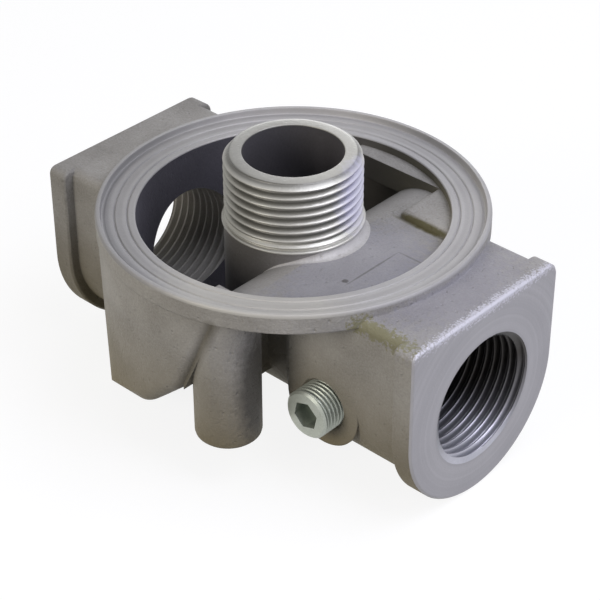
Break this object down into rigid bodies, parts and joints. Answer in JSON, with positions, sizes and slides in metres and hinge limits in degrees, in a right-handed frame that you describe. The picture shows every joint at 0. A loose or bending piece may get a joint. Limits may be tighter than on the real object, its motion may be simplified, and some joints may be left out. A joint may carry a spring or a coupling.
{
  "type": "filter head",
  "caption": "Cast head for a spin-on filter: threaded nipple inside a turned sealing ring, two in-line threaded ports on flanged necks, an inlet bowl, mounting posts and a hexagon-socket plug.",
  "frame": {"origin": "centre of the sealing lip's top plane, on the nipple's axis", "axes": "+Z out of the nipple, the way the filter leaves; +X out of the outlet port; -Y out of the plugged wall"},
  "size_m": [0.0938, 0.075, 0.0541],
  "materials": {
    "cast_aluminium": "satin",
    "plated_steel": "satin"
  },
  "bodies": {
    "root": {"head_casting": "cast_aluminium", "socket_plug": "plated_steel"}
  },
  "joints": []
}
